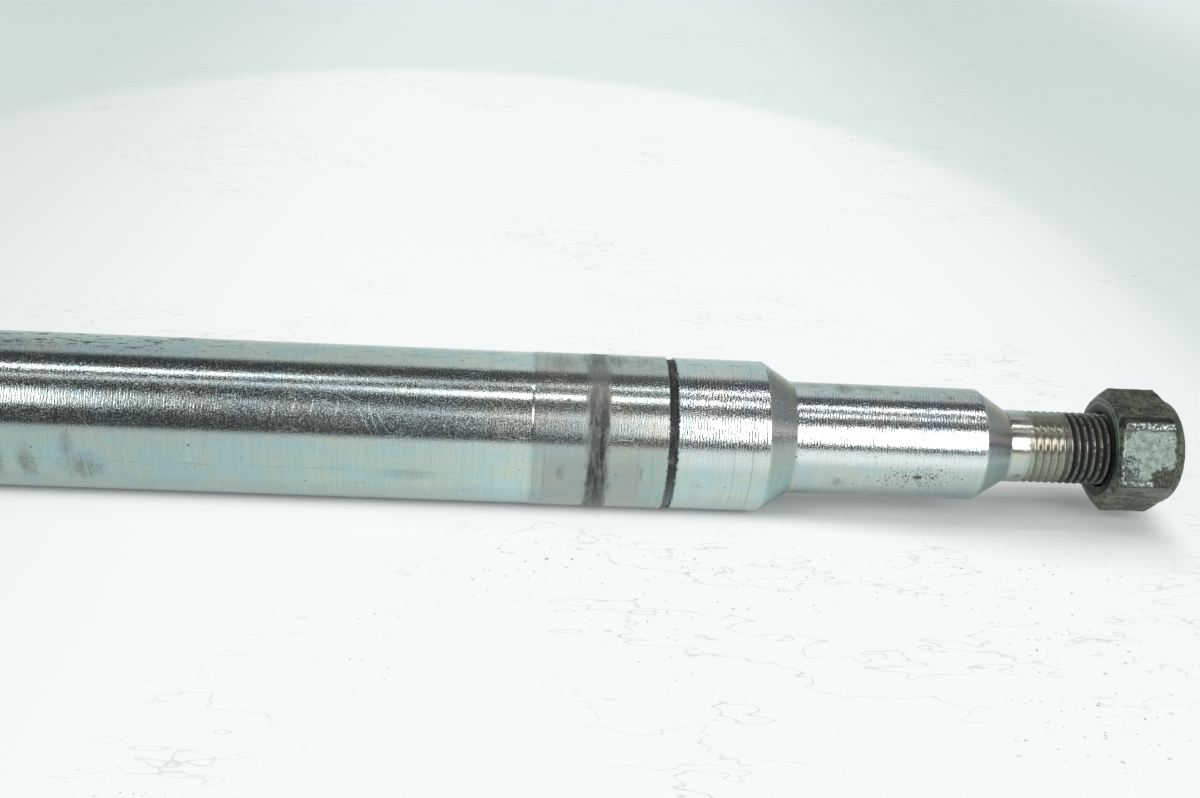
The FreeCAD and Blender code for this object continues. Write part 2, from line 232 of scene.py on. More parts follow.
class Shading:
    """Makes the shader nodes of one material; plain numbers and node outputs mix freely."""

    def __init__(self, material):
        material.use_nodes = True
        self.tree = material.node_tree
        self.surface = self.tree.nodes["Principled BSDF"]
        self.place = self.add("ShaderNodeTexCoord").outputs["Object"]
        self.in_mm = self.stretched(1.0, 1.0)
        self.x, self.y, self.z = self.add("ShaderNodeSeparateXYZ", {0: self.in_mm}).outputs
        self.from_axis = self.distance(self.y, self.z)

    def add(self, kind, inputs=None, **settings):
        """A node with its settings; inputs maps a socket to a value or to another node's output."""
        made = self.tree.nodes.new(kind)
        for setting, value in settings.items():
            setattr(made, setting, value)
        for socket, value in (inputs or {}).items():
            if isinstance(value, bpy.types.NodeSocket):
                self.tree.links.new(value, made.inputs[socket])
            else:
                made.inputs[socket].default_value = value
        return made

    def reckon(self, operation, first, *others):
        """One sum on any count of numbers, taken two at a time."""
        result = first
        for other in others or (0.0,):
            result = self.add("ShaderNodeMath", {0: result, 1: other}, operation=operation).outputs[0]
        return result

    def plus(self, *numbers):
        return self.reckon("ADD", *numbers)

    def minus(self, first, second):
        return self.reckon("SUBTRACT", first, second)

    def times(self, *numbers):
        return self.reckon("MULTIPLY", *numbers)

    def most(self, *numbers):
        return self.reckon("MAXIMUM", *numbers)

    def size(self, number):
        return self.reckon("ABSOLUTE", number)

    def distance(self, across, up):
        """The length of the two numbers taken as the sides of a square corner."""
        return self.reckon("SQRT", self.plus(self.times(across, across), self.times(up, up)))

    def fade(self, value, low, high, from_value=0.0, to_value=1.0):
        """A soft step from one value to another while the number goes from low to high."""
        return self.add("ShaderNodeMapRange", {
            "Value": value, "From Min": low, "From Max": high, "To Min": from_value, "To Max": to_value,
        }, interpolation_type="SMOOTHSTEP").outputs["Result"]

    def near(self, value, place, inner, outer, strength=1.0):
        """The strength within the inner distance of the place, fading to nothing at the outer one."""
        return self.fade(self.size(self.minus(value, place)), inner, outer, strength, 0.0)

    def share(self, value, middle, reach):
        """How far the number lies from the middle, as a share of the reach."""
        return self.times(self.minus(value, middle), 1.0 / reach)

    def between(self, value, start, end, soft):
        """One from start to end and nothing elsewhere, with soft edges."""
        past_start = self.fade(value, start - soft, start + soft)
        past_end = self.fade(value, end - soft, end + soft)
        return self.minus(past_start, past_end)

    def stretched(self, along, across):
        """Object coordinates in mm, stretched differently along the bar and across it."""
        return self.add("ShaderNodeVectorMath", {
            0: self.place, 1: (along / MM, across / MM, across / MM),
        }, operation="MULTIPLY").outputs[0]

    def grain(self, along, across, detail=2.0, roughness=0.5):
        """Noise with so many grains to the mm along the bar and across it."""
        return self.add("ShaderNodeTexNoise", {
            "Vector": self.stretched(along, across), "Scale": 1.0, "Detail": detail, "Roughness": roughness,
        }).outputs["Fac"]

    def shaky(self, number, noise, reach):
        """The number moved up and down by the noise, at most by about half the reach."""
        return self.plus(number, self.times(self.minus(noise, 0.5), reach))

    def hairline(self, noise, level, width):
        """Fine lines where the noise passes the level."""
        return self.near(noise, level, 0.0, width)

    def blend(self, amount, first, second, kind="MIX"):
        """The first colour with so much of the second in it."""
        made = self.add("ShaderNodeMix", {0: amount}, data_type="RGBA", blend_type=kind)
        for socket, colour in ((6, first), (7, second)):
            if isinstance(colour, bpy.types.NodeSocket):
                self.tree.links.new(colour, made.inputs[socket])
            else:
                made.inputs[socket].default_value = (*colour, 1.0)
        return made.outputs[2]

    def ramp(self, value, stops):
        """A colour or a level that changes with the number, from (number, colour or level) stops."""
        low, high = stops[0][0], stops[-1][0]
        part_way = self.add("ShaderNodeMapRange", {"Value": value, "From Min": low, "From Max": high})
        made = self.add("ShaderNodeValToRGB", {"Fac": part_way.outputs["Result"]})
        stop_list = made.color_ramp.elements
        while len(stop_list) < len(stops):
            stop_list.new(0.5)
        for stop, (place, _) in zip(stop_list, stops):
            stop.position = (place - low) / (high - low)
        for stop, (_, level) in zip(stop_list, stops):
            stop.color = (*level, 1.0) if isinstance(level, tuple) else (level, level, level, 1.0)
        return made.outputs["Color"]

    def join(self, socket, value):
        """Leads a colour or a number into the material's own shader."""
        self.tree.links.new(value, self.surface.inputs[socket])

    def relief(self, height, depth_mm):
        """Bumps of the given depth on the surface."""
        bump = self.add("ShaderNodeBump", {"Height": height, "Strength": 1.0, "Distance": depth_mm * MM})
        self.join("Normal", bump.outputs["Normal"])


plated = bpy.data.materials.new("plated_steel")
zinc = Shading(plated)
up_degrees = zinc.reckon("DEGREES", zinc.reckon("ARCTAN2", zinc.z, zinc.times(zinc.y, -1.0)))
up_mm = zinc.times(zinc.from_axis, zinc.reckon("RADIANS", up_degrees))
cloud = zinc.grain(0.10, 0.16, 4.0, 0.6)
fleck = zinc.grain(1.3, 1.6, 4.0, 0.65)
speck = zinc.grain(4.5, 4.5, 2.0, 0.6)
ragged = zinc.grain(0.8, 0.45, 5.0, 0.75)
brushed = zinc.grain(2.2, 0.10, 4.0, 0.7)

# Bare plated colour: pale blue-green metal that drifts to straw and blue. Between two turned parts the finish
# changes over SOFT mm to either side, and at a cone's rolled foot over FOOT mm.
SOFT, FOOT = 0.15, 0.5
BLUE_DRIFT, STRAW_DRIFT = (0.84, 0.98, 1.08), (1.08, 1.0, 0.88)
# Left of -30 mm the colour darkens towards the plain end: painted shade, for the dimmer surround mirrored at
# that end.
colour = zinc.ramp(zinc.x, [
    (PLAIN_END, (0.42, 0.53, 0.50)), (-70.0, (0.40, 0.52, 0.50)), (-30.0, (0.47, 0.60, 0.56)),
    (SEAT_START - SOFT, (0.56, 0.69, 0.65)), (SEAT_START + SOFT, (0.42, 0.50, 0.46)),
    (SEAT_END, (0.45, 0.54, 0.50)), (GROOVE_END, (0.56, 0.68, 0.66)), (LAND_END - SOFT, (0.55, 0.67, 0.65)),
    (LAND_END + SOFT, (0.38, 0.48, 0.46)), (STEP_START - FOOT, (0.40, 0.50, 0.47)),
    (STEP_START + FOOT, (0.56, 0.67, 0.65)), (STEP_END - SOFT, (0.56, 0.67, 0.65)),
    (STEP_END + SOFT, (0.36, 0.45, 0.44)), (NECK_START - FOOT, (0.37, 0.46, 0.44)),
    (NECK_START + 0.4, (0.56, 0.62, 0.57)), (THREAD_START, (0.54, 0.59, 0.52)),
    (THREAD_START + 0.6, (0.38, 0.40, 0.30)), (THREAD_START + 6.0, (0.33, 0.36, 0.28)),
    (THREAD_START + 7.5, (0.24, 0.27, 0.22)), (BAR_END, (0.24, 0.27, 0.22)),
])
drift = zinc.blend(zinc.fade(cloud, 0.38, 0.62), BLUE_DRIFT, STRAW_DRIFT)
colour = zinc.blend(0.5, colour, drift, "MULTIPLY")

# Painted light round the bar, by degrees up from the front: painted shade beneath and behind, and a paler,
# warmer painted tint over the lit front.
painted_light_round_bar = zinc.ramp(up_degrees, [
    (-80.0, (0.42, 0.44, 0.44)), (-55.0, (0.62, 0.65, 0.65)), (-25.0, (0.95, 0.97, 0.97)),
    (5.0, (1.0, 1.0, 1.0)), (16.0, (1.22, 1.04, 1.08)), (74.0, (1.22, 1.04, 1.08)), (86.0, (1.0, 1.0, 1.0)),
    (118.0, (1.0, 1.0, 1.0)), (180.0, (0.42, 0.44, 0.44)),
])
colour = zinc.blend(1.0, colour, painted_light_round_bar, "MULTIPLY")

# The degrees jump from 180 to -180 at the back, so what colours the underside fades out before it.
no_seam = zinc.fade(up_degrees, -175.0, -110.0)

# Painted light on the step shank: painted shade darkens it beneath and on top, and a painted highlight makes
# its lit front, like the land's, a shade paler.
PAINTED_SHADE_ZINC, LIT_ZINC = (0.30, 0.34, 0.33), (0.95, 1.0, 1.0)
step_shade = zinc.times(
    zinc.between(zinc.x, STEP_START, STEP_END, 0.5),
    zinc.plus(zinc.fade(up_degrees, -30.0, 5.0, 0.30, 0.0), zinc.fade(up_degrees, 80.0, 94.0, 0.0, 0.45),
              zinc.fade(up_degrees, 118.0, 175.0, 0.0, -0.15)))
colour = zinc.blend(step_shade, colour, PAINTED_SHADE_ZINC)
glow_share = zinc.ramp(zinc.x, [
    (GROOVE_END, 0.0), (GROOVE_END + 0.5, 0.35), (LAND_END, 0.35), (LAND_END + 2 * SOFT, 0.0),
    (STEP_START - 2 * SOFT, 0.0), (STEP_START + 2 * SOFT, 0.75), (STEP_END, 0.75), (STEP_END + 2 * SOFT, 0.0),
])
lit_side = zinc.times(glow_share, zinc.between(up_degrees, 0.0, 21.0, 6.0))
colour = zinc.blend(lit_side, colour, LIT_ZINC)

# The cones drift to purple and straw upwards. The step shank is tan beneath and straw at its foot.
TAN, STRAW = (0.56, 0.50, 0.42), (0.66, 0.63, 0.46)
on_cones = zinc.plus(zinc.between(zinc.x, LAND_END + 2 * SOFT, STEP_START, 0.4),
                     zinc.between(zinc.x, STEP_END + 2 * SOFT, NECK_START, 0.4))
cone_hue = zinc.ramp(zinc.shaky(up_degrees, cloud, 60.0), [
    (-60.0, (0.92, 1.0, 1.02)), (0.0, (0.90, 1.0, 1.0)), (30.0, (1.02, 0.94, 1.02)),
    (60.0, (1.10, 0.98, 0.88)), (90.0, (1.16, 0.98, 0.82)), (120.0, (0.9, 1.0, 1.05)),
])
colour = zinc.blend(zinc.times(on_cones, 0.7), colour, zinc.blend(1.0, colour, cone_hue, "MULTIPLY"))
tan_side = zinc.times(zinc.between(zinc.x, STEP_START + 4.0, STEP_END - 4.0, 3.0),
                      zinc.fade(up_degrees, -62.0, -36.0, 0.6, 0.0), no_seam)
colour = zinc.blend(tan_side, colour, TAN)
straw_foot = zinc.times(zinc.between(zinc.x, STEP_START - 0.4, STEP_START + FOOT, 0.2),
                        zinc.fade(up_degrees, -50.0, 10.0, 0.55, 0.0), no_seam)
colour = zinc.blend(straw_foot, colour, STRAW)

# Turning marks: even grooves half a millimetre apart, each with its own waver round the bar, and finer ones.
MARK_PITCH = 0.48
ripple = zinc.times(zinc.grain(0.5, 0.02), 3.0)
even_marks = zinc.reckon("SINE", zinc.plus(zinc.times(zinc.x, math.tau / MARK_PITCH), ripple))
mark_depth = zinc.ramp(zinc.x, [
    (PLAIN_END, 0.12), (-50.0, 0.12), (-25.0, 0.06), (SEAT_START - SOFT, 0.05), (SEAT_START + SOFT, 0.05),
    (SEAT_END, 0.07), (GROOVE_END, 0.70), (LAND_END - SOFT, 0.70), (LAND_END + SOFT, 0.25),
    (STEP_START, 0.25), (STEP_START + FOOT, 0.60), (STEP_END - SOFT, 0.60), (STEP_END + SOFT, 0.20),
    (THREAD_START, 0.10), (THREAD_START + SOFT, 0.0), (BAR_END, 0.0),
])
chatter_depth = zinc.ramp(zinc.x, [
    (PLAIN_END, 2.2), (-60.0, 1.6), (-30.0, 0.7), (SEAT_START, 0.6), (SEAT_END, 0.9), (GROOVE_END, 4.6),
    (LAND_END - SOFT, 4.6), (LAND_END + SOFT, 0.6), (STEP_START, 0.6), (STEP_START + FOOT, 4.0),
    (STEP_END - SOFT, 4.0), (STEP_END + SOFT, 0.6), (THREAD_START, 0.3), (THREAD_START + SOFT, 0.0),
    (BAR_END, 0.0),
])
waver = zinc.minus(zinc.grain(0.9, 0.60, 2.0, 0.6), 0.5)
marks = zinc.plus(
    zinc.times(even_marks, mark_depth, 0.26),
    zinc.times(zinc.grain(5.0, 0.04, 3.0, 0.65), 0.36),
    zinc.times(zinc.plus(zinc.times(waver, even_marks), zinc.times(zinc.grain(2.3, 0.38), 0.2)),
               chatter_depth),
)

# Long fine scratches from sleeves slid along the bar, and short slanting ones from tools.
slide = zinc.times(zinc.hairline(zinc.grain(0.05, 3.4, 3.0, 0.7), 0.5, 0.010), zinc.fade(cloud, 0.47, 0.6))
slanted = zinc.add("ShaderNodeMapping", {
    "Vector": zinc.in_mm, "Rotation": (0.5, 0.9, 0.4), "Scale": (0.16, 1.3, 1.3),
}).outputs[0]
slant = zinc.add("ShaderNodeTexNoise", {"Vector": slanted, "Scale": 1.0, "Detail": 2.0}).outputs["Fac"]
slant = zinc.times(zinc.hairline(slant, 0.56, 0.007), zinc.fade(zinc.grain(0.23, 0.3, 1.0), 0.52, 0.6))
scratch = slant

# Single scratches: distance in mm, degrees up, lean in degrees and half length in mm.
for mark_x, mark_up, lean, half_length in (
    (-50.6, 32.0, 84.0, 1.4), (-47.6, 35.0, 76.0, 1.2), (-44.8, 34.0, 82.0, 1.6),
    (-41.0, 33.0, 80.0, 1.5), (-36.6, 25.0, 118.0, 3.2), (-35.4, 27.0, 112.0, 2.6),
    (-33.8, 24.0, 122.0, 2.2), (-79.0, 16.6, 128.0, 1.9), (-38.2, 38.0, 150.0, 3.4),
):
    mark_height = math.radians(mark_up) * MAIN_RADIUS
    turned = zinc.add("ShaderNodeVectorRotate", {
        "Vector": zinc.add("ShaderNodeCombineXYZ", {0: zinc.x, 1: up_mm}).outputs[0],
        "Center": (mark_x, mark_height, 0.0), "Angle": math.radians(-lean),
    }, rotation_type="Z_AXIS").outputs[0]
    run, aside, _ = zinc.add("ShaderNodeSeparateXYZ", {0: turned}).outputs
    line = zinc.times(zinc.near(zinc.shaky(aside, fleck, 0.25), mark_height, 0.03, 0.09),
                      zinc.near(run, mark_x, half_length * 0.7, half_length))
    scratch = zinc.most(scratch, line)

# Soot, oil and rubbed dirt: (distance, degrees up, half length, half height, strength), in mm.
rubbed_places = [
    # On top of the seat, then on its front and underside.
    (-6.3, 87.5, 2.6, 4.0, 0.42), (-1.8, 91.0, 1.6, 3.6, 0.55), (2.3, 91.0, 3.0, 3.2, 0.6),
    (7.2, 91.0, 1.4, 2.0, 0.35), (-0.3, 23.0, 2.6, 4.2, 0.9), (-1.0, -4.0, 1.4, 1.6, 1.0),
    (-5.1, 46.0, 0.42, 0.32, 1.0), (-6.1, -9.5, 0.8, 1.7, 0.40), (6.7, -7.0, 0.35, 1.3, 0.5),
    # Under the main shank.
    (-93.2, -16.0, 1.6, 4.6, 0.7), (-88.4, -18.0, 1.8, 4.0, 0.7), (-80.0, -20.0, 3.6, 3.2, 0.7),
    (-82.0, -2.0, 1.3, 3.6, 0.5), (-30.0, -16.0, 5.0, 1.5, 0.25),
    # On top of the step shank, then under it.
    (40.2, 91.5, 1.8, 2.2, 0.7), (44.6, 89.5, 2.4, 1.6, 0.4), (48.5, 84.0, 1.0, 0.7, 0.5),
    (57.6, 78.0, 0.6, 0.5, 0.7), (39.3, -23.5, 1.5, 1.3, 0.4), (51.8, -13.5, 1.0, 0.6, 1.0),
    # On the neck.
    (70.7, 27.0, 0.35, 0.5, 1.0), (69.7, -31.0, 0.8, 0.7, 0.9),
]
rubbed = 0.0
for mark_x, mark_up, half_length, half_height, strength in rubbed_places:
    radius = MAIN_RADIUS if mark_x < LAND_END else STEP_RADIUS if mark_x < STEP_END else THREAD_RADIUS
    over = zinc.share(zinc.x, mark_x, half_length)
    up = zinc.share(up_degrees, mark_up, half_height / math.radians(radius))
    spot = zinc.fade(zinc.shaky(zinc.distance(over, up), ragged, 1.8), 0.1, 1.2, strength, 0.0)
    rubbed = zinc.most(rubbed, spot)
rubbed = zinc.times(rubbed, zinc.fade(brushed, 0.34, 0.56, 0.25, 1.0), zinc.fade(speck, 0.34, 0.5, 0.35, 1.0))

# Black dashes that have rubbed off on the upper side of the shank.
dashes = zinc.fade(zinc.grain(0.38, 1.5, 4.0, 0.75), 0.55, 0.59)
dash_zone = zinc.times(
    zinc.minus(zinc.fade(zinc.x, -118.0, -92.0), zinc.fade(zinc.x, -74.0, -50.0, 0.0, 0.75)),
    zinc.between(up_degrees, 78.0, 130.0, 7.0))
rubbed = zinc.most(rubbed, zinc.times(dashes, dash_zone, 0.95))

# Rings that a bearing and its seal have left: a sooty band, black dirt packed in the groove and faint lines.
# One more faint line runs along the shank.
wander = zinc.times(zinc.minus(zinc.grain(0.9, 0.20, 4.0, 0.70), 0.5), 3.6)
soot_band = zinc.times(
    zinc.near(zinc.plus(zinc.x, wander), -0.2, 0.8, 2.4),
    zinc.ramp(up_degrees, [
        (-90.0, 0.75), (-50.0, 0.85), (-10.0, 1.0), (20.0, 1.0), (38.0, 0.95), (58.0, 0.60), (76.0, 0.55),
        (90.0, 0.75), (110.0, 0.66), (180.0, 0.75),
    ]),
    zinc.fade(zinc.grain(0.9, 0.24, 4.0, 0.7), 0.36, 0.54, 0.66, 1.0),
    zinc.fade(brushed, 0.30, 0.58, 0.78, 1.0), zinc.fade(speck, 0.30, 0.50, 0.84, 1.0))
groove_dirt = zinc.times(
    zinc.between(zinc.shaky(zinc.x, fleck, 1.3), SEAT_END - 0.05, GROOVE_END + 0.05, 0.16),
    zinc.fade(up_degrees, -45.0, 5.0, 0.72, 1.0), zinc.fade(ragged, 0.34, 0.50, 0.80, 1.0))
faint_rings = 0.0
for ring_place, ring_strength in (
    (-8.6, 0.26), (-10.3, 0.16), (8.4, 0.22), (6.1, 0.14), (21.3, 0.16), (24.2, 0.30),
):
    faint_rings = zinc.plus(faint_rings, zinc.near(zinc.x, ring_place, 0.04, 0.15, ring_strength))
long_line = zinc.times(zinc.near(zinc.shaky(up_mm, cloud, 0.5), -2.8, 0.05, 0.14, 0.24),
                       zinc.between(zinc.x, -120.0, -24.0, 6.0), zinc.fade(ragged, 0.40, 0.56, 0.2, 1.0))
faint_rings = zinc.times(zinc.most(faint_rings, long_line), zinc.fade(cloud, 0.35, 0.6, 0.4, 1.0))

# Black grime in the thread's roots, over the turns next to the nut.
SHARP_TURNS = THREAD_START + 6.9
root_depth = zinc.shaky(zinc.from_axis, fleck, 0.8)
near_nut = zinc.fade(zinc.plus(zinc.x, zinc.times(wander, 0.4)), SHARP_TURNS - 0.6, SHARP_TURNS + 0.4)
in_roots = zinc.fade(root_depth, 5.45, 5.85, 1.0, 0.0)
grime = zinc.times(zinc.most(in_roots, zinc.fade(fleck, 0.50, 0.58, 0.0, 0.9)), near_nut)
shallow = zinc.times(zinc.between(zinc.x, THREAD_START + 0.3, SHARP_TURNS, 0.3),
                     zinc.fade(root_depth, 5.60, 5.95, 0.42, 0.0))

# Small black corrosion pits, crowded on the underside of the step shank and scattered elsewhere.
PITTED_X, PITTED_UP, PITTED_LENGTH, PITTED_DEGREES = 52.0, -13.5, 7.4, 17.0
pit_cell = zinc.add("ShaderNodeTexVoronoi", {"Vector": zinc.stretched(2.9, 2.9), "Scale": 1.0})
pit_chance = zinc.add("ShaderNodeSeparateColor", {0: pit_cell.outputs["Color"]})
pit_away = zinc.distance(zinc.share(zinc.x, PITTED_X, PITTED_LENGTH),
                         zinc.share(up_degrees, PITTED_UP, PITTED_DEGREES))
pit_zone = zinc.plus(zinc.fade(pit_away, 0.1, 1.25, 0.95, 0.0), 0.006)
pit_size = zinc.times(pit_chance.outputs[1], 0.30)
pits = zinc.times(zinc.fade(zinc.minus(pit_cell.outputs["Distance"], pit_size), 0.10, 0.22, 1.0, 0.0),
                  zinc.reckon("LESS_THAN", pit_chance.outputs[0], pit_zone))

# Dirt darkens and dulls the metal, and a thin film of it greys the seat a little and the thread more.
SOOT, BROWN_DIRT, THREAD_GRIME = (0.028, 0.030, 0.029), (0.125, 0.115, 0.075), (0.018, 0.020, 0.018)
SEAT_TAN, SCRATCHED, BRUSHED = (0.37, 0.37, 0.33), (0.80, 0.88, 0.86), (0.16, 0.20, 0.19)
dirt = zinc.most(rubbed, soot_band, groove_dirt, grime, pits)
all_dirt = zinc.reckon("MINIMUM", zinc.plus(dirt, faint_rings, shallow), 1.0)
film = zinc.ramp(zinc.x, [
    (PLAIN_END, 0.03), (SEAT_START - SOFT, 0.04), (SEAT_START + SOFT, 0.10), (SEAT_END, 0.12),
    (GROOVE_END, 0.06), (LAND_END, 0.08), (STEP_START, 0.08), (STEP_END, 0.08), (NECK_START, 0.06),
    (THREAD_START, 0.3), (BAR_END, 0.4),
])
tan_smudge = zinc.times(zinc.fade(zinc.x, -76.0, -72.0, 1.0, 0.0),
                        zinc.fade(up_degrees, 60.0, 80.0, 1.0, 0.0))
dirt_colour = zinc.blend(zinc.most(tan_smudge, zinc.fade(zinc.x, NECK_START, THREAD_START)),
                         SOOT, BROWN_DIRT)
dirt_colour = zinc.blend(near_nut, dirt_colour, THREAD_GRIME)
seat_tan = zinc.times(zinc.between(zinc.x, -8.6, 6.8, 0.5), zinc.fade(up_degrees, -5.0, 12.0, 0.6, 0.0),
                      zinc.fade(brushed, 0.35, 0.6, 0.5, 1.0), no_seam)
colour = zinc.blend(seat_tan, colour, SEAT_TAN)
colour = zinc.blend(zinc.most(zinc.times(scratch, 0.5), zinc.times(slide, 0.16)), colour, SCRATCHED)
colour = zinc.blend(zinc.fade(brushed, 0.30, 0.75, 0.16, 0.0), colour, BRUSHED)
colour = zinc.blend(all_dirt, colour, dirt_colour)
zinc.join("Base Color", colour)
clean_film = zinc.times(film, zinc.fade(all_dirt, 0.0, 0.5, 1.0, 0.0))
zinc.join("Metallic", zinc.minus(zinc.fade(all_dirt, 0.0, 1.0, 1.0, 0.15), clean_film))

# How dull the plating is along the bar, with fine dull flecks, dull rings and dirt.
rough = zinc.ramp(zinc.x, [
    (PLAIN_END, 0.14), (-60.0, 0.14), (-40.0, 0.16), (SEAT_START - SOFT, 0.15), (SEAT_START + SOFT, 0.18),
    (SEAT_END, 0.18), (GROOVE_END, 0.17), (LAND_END - SOFT, 0.17), (LAND_END + SOFT, 0.22),
    (STEP_START, 0.22), (STEP_START + FOOT, 0.16), (STEP_END - SOFT, 0.16), (STEP_END + SOFT, 0.22),
    (NECK_START, 0.22), (NECK_START + FOOT, 0.14), (THREAD_START + 0.2, 0.22), (BAR_END, 0.30),
])
dull_flecks = zinc.fade(zinc.grain(6.2, 6.2, 1.0, 0.5), 0.54, 0.66, 0.0, 0.20)
dull_rings = zinc.times(even_marks, chatter_depth, 0.018)
dull_spots = zinc.times(zinc.plus(dull_flecks, dull_rings),
                        zinc.fade(zinc.x, STEP_END, STEP_END + 1.0, 1.0, 0.2))
rough = zinc.plus(zinc.shaky(rough, fleck, 0.08), zinc.times(dirt, 0.45), zinc.times(scratch, 0.1),
                  dull_spots)
zinc.join("Roughness", rough)
zinc.surface.inputs["Anisotropic"].default_value = 0.7
zinc.surface.inputs["Anisotropic Rotation"].default_value = 0.25
zinc.join("Tangent", zinc.add("ShaderNodeTangent", direction_type="RADIAL", axis="X").outputs[0])

# The turning marks, a fine sparkle, and hollows where the bar is scratched, pitted or dirty.
tiny_dents = zinc.fade(zinc.grain(4.6, 4.6, 1.0, 0.5), 0.62, 0.72)
sparkle = zinc.plus(zinc.times(zinc.grain(6.0, 6.0, 1.0), 0.45), zinc.times(tiny_dents, -0.25))
sparkle = zinc.times(sparkle, zinc.fade(zinc.x, THREAD_START - 0.2, THREAD_START + 0.2, 1.0, 0.0))
hollows = zinc.plus(zinc.times(scratch, -0.22), zinc.times(pits, -0.6), zinc.times(dirt, fleck, 0.7))
zinc.relief(zinc.plus(marks, sparkle, hollows), depth_mm=0.02)
bar.data.materials.clear()
bar.data.materials.append(plated)
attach(bar, "root")
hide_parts("axle")


# The nut
# A forged steel lock nut, 18 mm across its flats, blackened and greasy, chipped along its ridges by spanners.
# Its round collar is domed over at the outer end to hold the nylon ring. It stays tight on the thread.
ACROSS_FLATS = 18.0
NUT_TURN = math.radians(40)
ACROSS_CORNERS = ACROSS_FLATS / math.cos(math.radians(30))
NUT_HEIGHT = HEX_HEIGHT + COLLAR_HEIGHT
bpy.ops.object.select_all(action="DESELECT")
bpy.ops.mesh.primitive_cylinder_add(vertices=6, radius=ACROSS_CORNERS / 2 * MM, depth=NUT_HEIGHT * MM)
nut = bpy.context.active_object
nut.name = "nut_body"
nut.data.name = "nut_body"
nut.rotation_mode = "ZYX"
nut.rotation_euler = (NUT_TURN - math.radians(30), math.pi / 2, 0)
nut.location = ((NUT_FACE + NUT_HEIGHT / 2) * MM, 0, 0)
bpy.ops.object.transform_apply(location=True, rotation=True, scale=True)

# The lathe's share of its shape: chamfered bearing face, countersunk bore, collar and the ring's seat.
OUTSIDE, FACE_RADIUS, COLLAR_RADIUS, COLLAR_RIM = 10.9, 8.4, 8.7, 1.6
BORE_RADIUS, MOUTH_RADIUS, RING_SEAT, LIP_RADIUS, LIP_THICKNESS, RING_ROOM = 6.05, 6.5, 7.6, 6.7, 0.8, 2.0
CHAMFER_SLOPE = math.tan(math.radians(30))
LIP_ROUND, NUT_FACETS = 0.2, 128
lip_start = NUT_HEIGHT - LIP_THICKNESS
nut_corners = [
    (0.0, MOUTH_RADIUS),
    (0.0, FACE_RADIUS),
    ((OUTSIDE - FACE_RADIUS) * CHAMFER_SLOPE, OUTSIDE),
    (HEX_HEIGHT - (OUTSIDE - COLLAR_RADIUS) * CHAMFER_SLOPE, OUTSIDE),
    (HEX_HEIGHT, COLLAR_RADIUS),
    (NUT_HEIGHT, COLLAR_RADIUS),
    (NUT_HEIGHT, LIP_RADIUS),
    (lip_start, LIP_RADIUS),
    (lip_start, RING_SEAT),
    (lip_start - RING_ROOM, RING_SEAT),
    (lip_start - RING_ROOM, BORE_RADIUS),
    (MOUTH_RADIUS - BORE_RADIUS, BORE_RADIUS),
    (0.0, MOUTH_RADIUS),
]
lathe = draw_outline("nut_lathe_shape", [(NUT_FACE + along, radius) for along, radius in nut_corners])
round_corners(lathe, [(NUT_END, COLLAR_RADIUS)], COLLAR_RIM, segments=8)
round_corners(lathe, [(NUT_END, LIP_RADIUS)], LIP_ROUND, segments=3)
spin_outline(NUT_FACETS)
cut = nut.modifiers.new("turned_ends", "BOOLEAN")
cut.operation = "INTERSECT"
cut.solver = "EXACT"
cut.object = lathe
bpy.ops.object.select_all(action="DESELECT")
bpy.context.view_layer.objects.active = nut
nut.select_set(True)
bpy.ops.object.modifier_apply(modifier=cut.name)
bpy.data.objects.remove(lathe)

# Forging and wear: an even skin, its edges rubbed soft, with shallow knocks from spanners.
SKIN_FACET, KNOCK_SIZE, KNOCK_DEPTH = 0.17, 1.1, 0.12
even = nut.modifiers.new("even_skin", "REMESH")
even.mode = "VOXEL"
even.voxel_size = SKIN_FACET * MM
bpy.ops.object.modifier_apply(modifier=even.name)
worn = nut.modifiers.new("worn_edges", "SMOOTH")
worn.factor = 0.5
worn.iterations = 2
bpy.ops.object.modifier_apply(modifier=worn.name)
knocks = bpy.data.textures.new("spanner_knocks", "CLOUDS")
knocks.noise_scale = KNOCK_SIZE * MM
knocks.noise_depth = 2
dents = nut.modifiers.new("dents", "DISPLACE")
dents.texture = knocks
dents.texture_coords = "LOCAL"
dents.strength = KNOCK_DEPTH * MM
dents.mid_level = 1.0
bpy.ops.object.modifier_apply(modifier=dents.name)
bpy.ops.object.shade_smooth()

blackened = bpy.data.materials.new("blackened_steel")
skin = Shading(blackened)
blotch = skin.grain(0.22, 0.22, 5.0, 0.65)
mottle = skin.grain(0.9, 0.9, 5.0, 0.7)
peck = skin.grain(2.6, 2.6, 3.0, 0.6)
streak = skin.grain(0.22, 1.1, 4.0, 0.65)
from_face = skin.minus(skin.x, NUT_FACE)

# Greasy black oxide with olive and brown patches, streaked along the facets.
BLACK_OXIDE, GREY_OXIDE, PITCH_BLACK = (0.024, 0.032, 0.029), (0.080, 0.090, 0.066), (0.010, 0.012, 0.010)
OLIVE, PALE_OLIVE = (0.16, 0.175, 0.120), (0.20, 0.235, 0.18)
BROWN, GREY_FLECKS = (0.050, 0.040, 0.024), (0.28, 0.32, 0.26)
colour = skin.blend(skin.fade(blotch, 0.42, 0.60), BLACK_OXIDE, GREY_OXIDE)
HALF_FLAT = ACROSS_FLATS / 2 * math.tan(math.radians(30))
face_turn = math.radians(60) - NUT_TURN
up_flat = skin.plus(skin.times(skin.y, math.sin(face_turn)), skin.times(skin.z, math.cos(face_turn)))
below = skin.fade(up_flat, -HALF_FLAT - 0.4, -HALF_FLAT, 1.0, 0.0)
streaks = skin.times(skin.fade(streak, 0.48, 0.56), skin.plus(skin.times(below, 0.6), 0.3))
